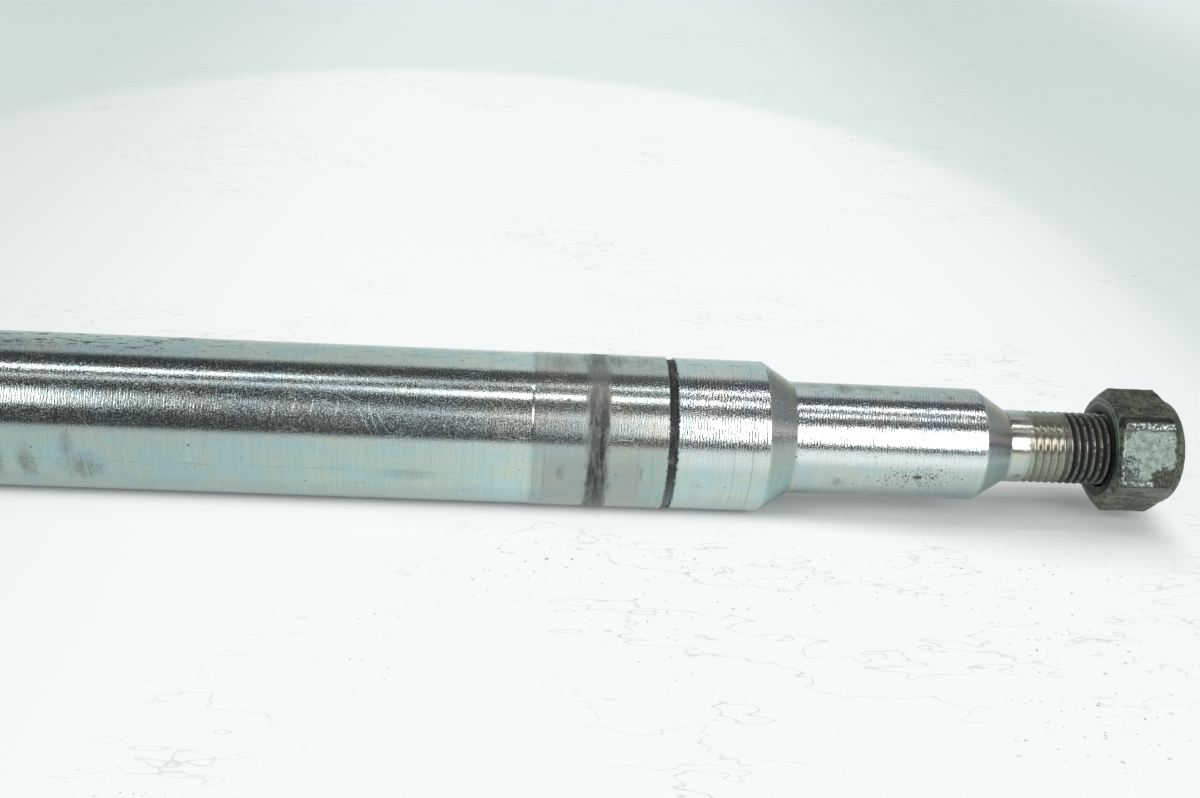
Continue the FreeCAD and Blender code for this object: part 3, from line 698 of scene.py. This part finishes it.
colour = skin.blend(streaks, colour, PALE_OLIVE)
olive = skin.fade(skin.grain(0.5, 0.5, 5.0, 0.75), 0.50, 0.58, 0.0, 0.7)
colour = skin.blend(olive, colour, OLIVE)
brown = skin.fade(skin.grain(0.4, 0.6, 4.0, 0.7), 0.55, 0.62, 0.0, 0.7)
colour = skin.blend(brown, colour, BROWN)
colour = skin.blend(skin.fade(peck, 0.54, 0.64, 0.0, 0.5), colour, GREY_FLECKS)
colour = skin.blend(skin.fade(mottle, 0.34, 0.47, 0.95, 0.0), colour, PITCH_BLACK)

# Places on the flat towards the viewer: how far out of it, how far up it and how far from the bearing face.
FLAT = ACROSS_FLATS / 2
out_of_flat = skin.plus(skin.times(skin.y, -math.cos(face_turn)), skin.times(skin.z, math.sin(face_turn)))
on_flat = skin.times(skin.fade(out_of_flat, FLAT - 0.42, FLAT - 0.22),
                     skin.between(skin.shaky(from_face, mottle, 1.0), 0.6, 9.5, 0.12))


def on_flat_spot(centre_x, centre_up, half_length, half_height, noise, reach):
    """How far a point is from a squarish spot on the flat, one at its edge, roughened by noise."""
    over = skin.size(skin.share(from_face, centre_x, half_length))
    rise = skin.size(skin.share(up_flat, centre_up, half_height))
    away = skin.plus(skin.reckon("POWER", over, 2.6), skin.reckon("POWER", rise, 2.6))
    return skin.shaky(away, noise, reach)


# Spanners have rubbed most of that flat to bare grey metal. A bluish patch, a rest of the old skin and black
# specks are left on it.
DULL_STEEL, BARE_STEEL, BLUED_STEEL = (0.19, 0.24, 0.21), (0.38, 0.45, 0.40), (0.06, 0.08, 0.09)
OLD_SKIN, OLD_FLECKS, BLACK_SPECKS = (0.026, 0.028, 0.024), (0.085, 0.082, 0.058), (0.02, 0.02, 0.02)
bare = skin.times(skin.fade(on_flat_spot(5.3, 0.4, 4.6, 4.5, mottle, 2.2), 0.85, 1.0, 1.0, 0.0), on_flat)
blue = skin.fade(on_flat_spot(1.9, -2.4, 1.7, 2.4, mottle, 2.4), 0.7, 1.1, 1.0, 0.0)
rest = skin.fade(on_flat_spot(8.3, -3.8, 2.8, 1.9, mottle, 4.5), 0.6, 1.1, 0.95, 0.0)
bare_colour = skin.blend(skin.fade(mottle, 0.38, 0.62), DULL_STEEL, BARE_STEEL)
colour = skin.blend(bare, colour, bare_colour)
blue_left = skin.times(on_flat, blue, skin.fade(peck, 0.44, 0.56, 0.95, 0.1))
colour = skin.blend(blue_left, colour, BLUED_STEEL)
rest_colour = skin.blend(skin.fade(peck, 0.45, 0.55), OLD_SKIN, OLD_FLECKS)
colour = skin.blend(skin.times(on_flat, rest), colour, rest_colour)
black_specks = skin.times(on_flat, skin.fade(peck, 0.32, 0.38, 1.0, 0.0))
colour = skin.blend(black_specks, colour, BLACK_SPECKS)

# Bright chips along the ridge above it and at its lower left, with a line of black dirt above the ridge.
CHIPPED_STEEL, BETWEEN_CHIPS, GREASE = (0.56, 0.61, 0.55), (0.045, 0.050, 0.045), (0.010, 0.011, 0.010)
chip_grain = skin.fade(skin.grain(2.0, 2.3, 4.0, 0.75), 0.48, 0.54)
rough_up = skin.shaky(up_flat, mottle, 1.4)
RIDGE = HALF_FLAT - 0.5
between_chips = skin.times(skin.near(rough_up, RIDGE - 0.1, 0.5, 0.8), on_flat)
colour = skin.blend(skin.times(between_chips, 0.8), colour, BETWEEN_CHIPS)
upper_chips = skin.times(skin.near(rough_up, RIDGE, 0.4, 0.6), skin.between(from_face, 1.0, 9.4, 0.3))
lower_chips = skin.times(skin.near(rough_up, -RIDGE, 0.2, 0.4, 0.8), skin.between(from_face, 0.8, 6.2, 0.3))
edge_chips = skin.times(skin.between(skin.shaky(from_face, mottle, 0.8), 0.7, 1.1, 0.1),
                        skin.fade(skin.size(up_flat), 4.0, 5.0, 0.8, 0.0))
chips = skin.times(skin.most(upper_chips, lower_chips, edge_chips), chip_grain,
                   skin.fade(out_of_flat, FLAT - 1.0, FLAT - 0.7))
colour = skin.blend(chips, colour, CHIPPED_STEEL)
over_ridge = skin.between(skin.shaky(out_of_flat, mottle, 1.2), FLAT - 1.6, FLAT - 0.45, 0.1)
dirt_line = skin.times(over_ridge, skin.fade(up_flat, 4.0, 4.6), skin.fade(streak, 0.40, 0.50, 0.5, 1.0))
colour = skin.blend(dirt_line, colour, GREASE)

# The bearing face's turned rings carry a painted highlight, paler towards the top, and black fills the gap
# round the thread at the bore's mouth, reaching further out below.
FACE_GLINT, MOUTH_BLACK = (0.25, 0.29, 0.28), (0.008, 0.009, 0.008)
face_zone = skin.fade(from_face, 0.12, 0.3, 1.0, 0.0)
face_waves = skin.reckon("SINE", skin.times(skin.shaky(skin.from_axis, blotch, 0.6), math.tau / 0.7))
painted_face_glints = skin.times(face_zone, skin.fade(face_waves, -0.2, 0.8, 0.0, 0.8),
                        skin.fade(skin.z, 1.0, 6.0, 0.10, 1.0))
colour = skin.blend(painted_face_glints, colour, FACE_GLINT)
black_to = skin.plus(skin.from_axis, skin.fade(skin.z, 1.0, 6.0, -0.5, 0.0))
mouth = skin.times(skin.fade(black_to, 7.1, 7.6, 1.0, 0.0), skin.fade(from_face, 3.0, 6.0, 1.0, 0.0))
colour = skin.blend(mouth, colour, MOUTH_BLACK)
skin.join("Base Color", colour)
shine = skin.most(skin.times(bare, 0.8), chips)
skin.join("Metallic", skin.fade(shine, 0.0, 1.0, 0.35, 0.9))
skin.join("Roughness", skin.plus(skin.fade(mottle, 0.3, 0.7, 0.34, 0.55), skin.times(bare, 0.10)))
rings = skin.times(skin.reckon("SINE", skin.times(skin.from_axis, math.tau / 0.35)), face_zone, 0.25)
skin.relief(skin.plus(mottle, skin.times(peck, 0.5), rings, skin.times(shine, -0.25)), depth_mm=0.11)
nut.data.materials.clear()
nut.data.materials.append(blackened)
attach(nut, "root")
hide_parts("axle_nut")


# The lock ring
# A moulded nylon ring, held in the nut's collar by its rolled lip, that grips the thread.
# Off-white, with grey grease where the thread has passed through it.
RING_PLAY, RING_LEAD, RING_FACETS = 0.05, 0.15, 96
ring_start = NUT_FACE + lip_start - RING_ROOM + RING_PLAY
ring_end = NUT_FACE + lip_start - RING_PLAY
ring_outer = RING_SEAT - RING_PLAY
ring_corners = [
    (ring_start, BORE_RADIUS + RING_LEAD),
    (ring_start, ring_outer - RING_LEAD),
    (ring_start + RING_LEAD, ring_outer),
    (ring_end - RING_LEAD, ring_outer),
    (ring_end, ring_outer - RING_LEAD),
    (ring_end, BORE_RADIUS + RING_LEAD),
    (ring_end - RING_LEAD, BORE_RADIUS),
    (ring_start + RING_LEAD, BORE_RADIUS),
    (ring_start, BORE_RADIUS + RING_LEAD),
]
lock_ring = draw_outline("nylon_ring", ring_corners)
spin_outline(RING_FACETS)
settle_shading(lock_ring, sharp_degrees=30)
nylon = bpy.data.materials.new("nylon")
plastic = Shading(nylon)
CLEAN_NYLON, GREASED_NYLON = (0.56, 0.55, 0.47), (0.16, 0.15, 0.12)
soil = plastic.grain(0.7, 0.7, 5.0, 0.65)
greasy = plastic.times(plastic.fade(plastic.from_axis, 6.1, 6.7, 1.0, 0.15), plastic.fade(soil, 0.35, 0.6))
plastic.join("Base Color", plastic.blend(greasy, CLEAN_NYLON, GREASED_NYLON))
plastic.join("Roughness", plastic.fade(soil, 0.3, 0.7, 0.35, 0.6))
plastic.relief(soil, depth_mm=0.025)
lock_ring.data.materials.append(nylon)
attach(lock_ring, "root")
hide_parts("lock_ring")


# Floor, dark tent, lamps and camera
# The axle lies on a white table in a pale room, under a dark cloth tent that is open behind. Flat lamps
# are let into the tent from low in front to overhead, and the bar's bright bands are their images.
FLOOR_LEVEL = -SEAT_RADIUS * MM
PALE_ROOM, DIM_ROOM = (0.74, 0.80, 0.79), (0.22, 0.25, 0.25)
TABLE_WHITE, SMEARED = (0.86, 0.885, 0.885), (0.70, 0.76, 0.76)
bpy.ops.object.select_all(action="DESELECT")
bpy.ops.mesh.primitive_plane_add(size=6.0, location=(0, 0, FLOOR_LEVEL))
floor = bpy.context.active_object
floor.name = "floor"
table_top = bpy.data.materials.new("white_table")
laminate = Shading(table_top)
pale = laminate.blend(laminate.fade(laminate.y, 200.0, 420.0), TABLE_WHITE, PALE_ROOM)
smear = laminate.grain(0.014, 0.014, 4.0, 0.6)
pale = laminate.blend(laminate.fade(smear, 0.45, 0.8, 0.0, 0.12), pale, SMEARED)
laminate.join("Base Color", pale)
laminate.surface.inputs["Roughness"].default_value = 0.55
laminate.surface.inputs["Specular IOR Level"].default_value = 0.2
floor.data.materials.append(table_top)

# To the camera and in the metal the table is nearly white: a bright cloth, rounded behind, on a greyer table.
CLOTH_X, CLOTH_Y, CLOTH_WIDE, CLOTH_BACK, CLOTH_FRONT = -25.0, 160.0, 170.0, 200.0, 560.0
CLOTH_WHITE, TABLE_GREY, VIGNETTE_GREY = (0.98, 1.0, 1.0), (0.82, 0.90, 0.88), (0.50, 0.60, 0.58)
off_deep = laminate.most(laminate.share(laminate.y, CLOTH_Y, CLOTH_BACK),
                         laminate.share(laminate.y, CLOTH_Y, -CLOTH_FRONT))
off_centre = laminate.distance(laminate.share(laminate.x, CLOTH_X, CLOTH_WIDE), off_deep)
# Far to either side of the middle the white greys: painted shade, a vignette that fades out again further
# off.
TABLE_MIDDLE = 10.0
from_middle = laminate.size(laminate.minus(laminate.x, TABLE_MIDDLE))
aside = laminate.minus(laminate.fade(from_middle, 60.0, 200.0), laminate.fade(from_middle, 260.0, 400.0))
white = laminate.blend(laminate.fade(off_centre, 0.92, 1.04), CLOTH_WHITE, TABLE_GREY)
white = laminate.blend(laminate.times(aside, 0.5), white, VIGNETTE_GREY)

# Faint scuffs all over it, and crumbs of dirt in front of the bar.
SCUFFED, CRUMB_GREY = (0.42, 0.48, 0.48), (0.10, 0.13, 0.12)
scuffs = laminate.times(laminate.hairline(laminate.grain(0.02, 0.05, 4.0, 0.7), 0.52, 0.006),
                        laminate.fade(laminate.grain(0.012, 0.012, 2.0), 0.48, 0.60))
white = laminate.blend(laminate.times(scuffs, 0.45), white, SCUFFED)
crumbs = laminate.times(laminate.fade(laminate.grain(0.7, 0.7, 2.0, 0.6), 0.66, 0.70),
                        laminate.fade(laminate.grain(0.02, 0.02, 2.0), 0.50, 0.60),
                        laminate.fade(laminate.y, -20.0, -12.0, 1.0, 0.15))
white = laminate.blend(laminate.times(crumbs, 0.6), white, CRUMB_GREY)


def seen_or_mirrored(tree):
    """One for what the camera, gloss or glass sees, and nothing for what only lights other things."""
    ray = tree.nodes.new("ShaderNodeLightPath")
    seen = ray.outputs["Is Camera Ray"]
    for ray_kind in ("Is Glossy Ray", "Is Transmission Ray"):
        either = tree.nodes.new("ShaderNodeMath")
        either.operation = "MAXIMUM"
        tree.links.new(seen, either.inputs[0])
        tree.links.new(ray.outputs[ray_kind], either.inputs[1])
        seen = either.outputs[0]
    return seen


# Partly painted shadow: in a band along the bar, wider by the thread, the white gives way to the darker lit
# table, where the bar's own shadow also shows.
UNDER_BAR, PAST_BAR, PAST_THREAD = 2.5, 8.5, 22.0
shadow_reach = laminate.fade(laminate.x, LAND_END, NUT_FACE, PAST_BAR, PAST_THREAD)
shaded = laminate.times(laminate.near(laminate.y, 0.0, UNDER_BAR, shadow_reach, 0.90),
                        laminate.between(laminate.x, PLAIN_END, BAR_END, 4.0))
cloth_white = laminate.add("ShaderNodeEmission", {"Color": white})
white_share = laminate.times(seen_or_mirrored(laminate.tree), laminate.minus(1.0, shaded), 0.84)
lit_or_white = laminate.add("ShaderNodeMixShader", {
    0: white_share, 1: laminate.surface.outputs[0], 2: cloth_white.outputs[0],
})
laminate.tree.links.new(lit_or_white.outputs[0], laminate.tree.nodes["Material Output"].inputs["Surface"])


def plain_glow(name, colour):
    """A material that shines evenly in one colour and takes no light."""
    material = bpy.data.materials.new(name)
    material.use_nodes = True
    nodes = material.node_tree.nodes
    nodes.remove(nodes["Principled BSDF"])
    glow = nodes.new("ShaderNodeEmission")
    glow.inputs["Color"].default_value = (*colour, 1.0)
    material.node_tree.links.new(glow.outputs[0], nodes["Material Output"].inputs["Surface"])
    return material


# The tent: part of a dark drum over the axle, open behind and below, which the camera looks under.
TENT_RADIUS, TENT_LENGTH, TENT_FOOT, TENT_BACK = 1.15, 5.0, 2.0, 118.0
CLOTH_DARK = (0.032, 0.034, 0.037)
bpy.ops.mesh.primitive_cylinder_add(vertices=180, radius=TENT_RADIUS, depth=TENT_LENGTH,
                                    rotation=(0, math.pi / 2, 0))
tent = bpy.context.active_object
tent.name = "dark_tent"
bpy.ops.object.transform_apply(location=False, rotation=True, scale=False)
bpy.ops.object.mode_set(mode="EDIT")
for edge_angle, side in ((math.radians(TENT_FOOT), -1), (math.radians(TENT_BACK), 1)):
    away = (0, side * math.sin(edge_angle), side * math.cos(edge_angle))
    bpy.ops.mesh.select_all(action="SELECT")
    bpy.ops.mesh.bisect(plane_co=(0, 0, 0), plane_no=away, clear_outer=True)
bpy.ops.object.mode_set(mode="OBJECT")
tent.visible_camera = False
tent.data.materials.append(plain_glow("dark_cloth", CLOTH_DARK))

# Grey screens stand past both ends, over and behind the axle; the cones mirror them, not the pale room.
SCREEN_FROM_Y, SCREEN_TO_Y, SCREEN_FOOT, SCREEN_TOP = -0.35, 3.0, 0.44, 3.0
PAST_ENDS, SCREEN_GREY = 1.45, (0.25, 0.28, 0.27)
grey = plain_glow("grey_screen", SCREEN_GREY)
for side_name, side in (("right", 1), ("left", -1)):
    bpy.ops.object.select_all(action="DESELECT")
    middle = (side * PAST_ENDS, (SCREEN_FROM_Y + SCREEN_TO_Y) / 2, (SCREEN_FOOT + SCREEN_TOP) / 2)
    bpy.ops.mesh.primitive_plane_add(size=1.0, location=middle, rotation=(0, math.pi / 2, 0))
    screen = bpy.context.active_object
    screen.name = f"{side_name}_screen"
    screen.scale = (SCREEN_TOP - SCREEN_FOOT, SCREEN_TO_Y - SCREEN_FROM_Y, 1.0)
    bpy.ops.object.transform_apply(location=True, rotation=True, scale=True)
    screen.visible_camera = False
    screen.data.materials.append(grey)

# The camera and the metal see the pale room; it lights everything else only dimly.
room = bpy.data.worlds.new("room")
bpy.context.scene.world = room
room.use_nodes = True
tree = room.node_tree
dim_or_pale = tree.nodes.new("ShaderNodeMix")
dim_or_pale.data_type = "RGBA"
tree.links.new(seen_or_mirrored(tree), dim_or_pale.inputs[0])
dim_or_pale.inputs[6].default_value = (*DIM_ROOM, 1.0)
dim_or_pale.inputs[7].default_value = (*PALE_ROOM, 1.0)
tree.links.new(dim_or_pale.outputs[2], tree.nodes["Background"].inputs["Color"])


def add_lamp(name, width, height, brightness, location, rotation, colour=(0.97, 1.0, 1.0)):
    """A soft rectangular lamp of the given brightness, where 1 is white."""
    lamp = bpy.data.lights.new(name, "AREA")
    lamp.shape = "RECTANGLE"
    lamp.size = width
    lamp.size_y = height
    lamp.energy = brightness * math.pi * width * height
    lamp.color = colour
    fitting = bpy.data.objects.new(name, lamp)
    fitting.location = location
    fitting.rotation_euler = rotation
    fitting.visible_camera = False
    bpy.context.scene.collection.objects.link(fitting)


# Lamps in the tent, one metre off: name, x from, x to, degrees up from the front, degrees tall, brightness.
for lamp_name, x_from, x_to, up_angle, tall, brightness in (
    ("overhead_left", -1.1, -0.18, 89.0, 2.2, 11.0),
    ("overhead_middle", -0.18, 0.10, 90.5, 3.6, 1.0),
    ("overhead_right", 0.10, 1.1, 91.0, 3.0, 8.0),
    ("second_left", -1.1, -0.045, 74.5, 1.2, 6.0),
    ("second_middle", -0.045, 0.237, 72.0, 5.6, 6.5),
    ("second_right", 0.237, 1.1, 73.0, 5.0, 0.7),
    ("middle_line_left", -0.38, -0.12, 45.5, 6.0, 0.35),
    ("middle_line", -0.12, 0.132, 40.5, 2.6, 1.6),
    ("left_softbox", -1.4, -0.46, 43.6, 21.6, 6.5),
    ("right_softbox", 0.165, 0.24, 34.0, 31.0, 3.8),
    ("far_softbox", 0.24, 1.4, 32.5, 35.0, 3.8),
):
    up_turn = math.radians(up_angle)
    add_lamp(lamp_name, x_to - x_from, 2 * math.tan(math.radians(tall / 2)), brightness,
             ((x_from + x_to) / 2, -math.cos(up_turn), math.sin(up_turn)), (math.pi / 2 - up_turn, 0, 0))

# Dim pinkish panels at both ends, which only the cones and the end faces mirror.
PINKISH = (1.0, 0.90, 0.96)
for side_name, side in (("right", 1), ("left", -1)):
    add_lamp(f"{side_name}_low_panel", width=0.26, height=0.60, brightness=0.80,
             location=(side * PAST_ENDS, -0.28, 0.32), rotation=(0, side * math.pi / 2, 0), colour=PINKISH)

# The camera, fitted to the edges of the bar and the rims of its steps in the photograph.
camera_data = bpy.data.cameras.new("photo_camera")
camera_data.lens = 42.896
camera_data.sensor_width = 36.0
camera_data.shift_x = 0.01369
camera_data.clip_start = 0.01
camera = bpy.data.objects.new("photo_camera", camera_data)
camera.location = (-0.01644, -0.21284, 0.09925)
camera.rotation_euler = (math.radians(66.218), math.radians(-3.470), math.radians(-2.275))
bpy.context.scene.collection.objects.link(camera)
bpy.context.scene.camera = camera
bpy.context.scene.view_settings.view_transform = "Standard"
